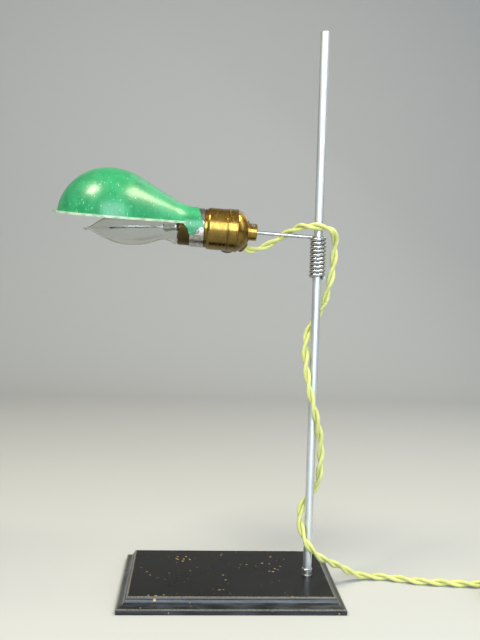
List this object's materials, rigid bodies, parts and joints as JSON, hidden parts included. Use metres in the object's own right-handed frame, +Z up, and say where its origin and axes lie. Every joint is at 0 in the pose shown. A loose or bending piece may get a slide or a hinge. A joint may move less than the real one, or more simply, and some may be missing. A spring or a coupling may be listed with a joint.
{
  "type": "swing arm desk lamp",
  "caption": "Desk lamp with a moulded black base, an upright rod, a coil-gripped wire arm that slides and swings, and a brass key socket with a green half shade.",
  "frame": {"origin": "centre of the underside of the rectangular base", "axes": "+Z up the rod, +X towards the rod's end of the base and away from the shade, -Y towards the user"},
  "size_m": [0.5718, 0.1667, 0.5141],
  "materials": {
    "base_paint": "satin black paint over wood, chipped at a few edges",
    "rod_steel": "satin drawn bar",
    "ferrule": "pale satin",
    "fixing_steel": "plain steel",
    "wire_steel": "drawn spring wire",
    "socket_brass": "aged brass with a dull lacquer",
    "lamp_cap_brass": "tarnished brass",
    "fixing_brass": "plain brass",
    "fibre": "vulcanised fibre",
    "porcelain": "glazed white porcelain",
    "key_black": "black moulded",
    "shade_enamel": "gloss green enamel, scratched and chipped",
    "band_tin": "bare tinned steel, stained",
    "bulb_glass": "clear blown glass",
    "cap_glass": "black glass",
    "filament_carbon": "carbon thread",
    "cord_cloth": "braided cotton, pale yellow-green",
    "lead_cover": "braided cotton, pale yellow-green",
    "tie_tape": "woven black tape",
    "plug_black": "black moulded"
  },
  "bodies": {
    "base": {"base_board": "base_paint", "rod": "rod_steel", "rod_ferrule": "ferrule", "rod_washer": "fixing_steel", "rod_nut": "fixing_steel", "cord_rod": "cord_cloth", "cord_table": "cord_cloth", "cord_coil": "cord_cloth", "cord_tie": "tie_tape", "cord_tail": "cord_cloth", "plug_body": "plug_black", "plug_disc": "fibre", "plug_blades": "fixing_brass"},
    "cord_slide": {"cord_side": "cord_cloth"},
    "arm": {"arm_wire": "wire_steel", "cord_top": "cord_cloth"},
    "head": {"socket_hub": "socket_brass", "socket_cap": "socket_brass", "cap_liner": "fibre", "cord_bushing": "fibre", "socket_shell": "socket_brass", "shell_liner": "fibre", "porcelain_body": "porcelain", "terminal_screws": "fixing_brass", "terminal_plates": "fixing_brass", "socket_leads": "lead_cover", "screw_shell": "fixing_brass", "centre_contact": "fixing_brass", "cord_head": "cord_cloth"},
    "shade": {"shade": "shade_enamel", "shade_band": "band_tin", "band_rivets": "band_tin"},
    "bulb": {"bulb_cap": "lamp_cap_brass", "bulb_insulator": "cap_glass", "bulb_contact": "fixing_brass", "bulb_glass": "bulb_glass", "bulb_stem": "bulb_glass", "bulb_leads": "wire_steel", "filament": "filament_carbon"},
    "key": {"key_stem": "fixing_brass", "turn_key": "key_black"},
    "set_screw": {"hub_set_screw": "fixing_steel"}
  },
  "joints": [
    {"name": "arm_slide", "type": "slide", "parent": "base", "child": "cord_slide", "axis": [0, 0, 1], "range_m": [-0.14, 0.16], "deforming": ["cord_side", "cord_rod"]},
    {"name": "arm_swing", "type": "hinge", "parent": "cord_slide", "child": "arm", "pos_m": [0.0732, -0.00572, 0.31], "axis": [0, 0, 1], "range_deg": [-150, 150], "deforming": ["cord_top"]},
    {"name": "head_roll", "type": "hinge", "parent": "arm", "child": "head", "pos_m": [0.01328, 0, 0.33184], "axis": [-0.9986, 0, 0.0523], "range_deg": [-50, 50], "deforming": ["cord_head"]},
    {"name": "shade_turn", "type": "hinge", "parent": "head", "child": "shade", "pos_m": [-0.03765, 0, 0.33451], "axis": [-0.9986, 0, 0.0523], "continuous": true},
    {"name": "bulb_screw", "type": "hinge", "parent": "head", "child": "bulb", "pos_m": [-0.03665, 0, 0.33446], "axis": [-0.9986, 0, 0.0523], "range_deg": [0, 1800]},
    {"name": "key_turn", "type": "hinge", "parent": "head", "child": "key", "pos_m": [-0.00799, 0, 0.33296], "axis": [-0.0277, 0.848, -0.5292], "continuous": true},
    {"name": "set_screw_turn", "type": "hinge", "parent": "head", "child": "set_screw", "pos_m": [0.01298, 0, 0.33186], "axis": [0.0389, -0.6691, 0.7421], "range_deg": [0, 1080]}
  ]
}
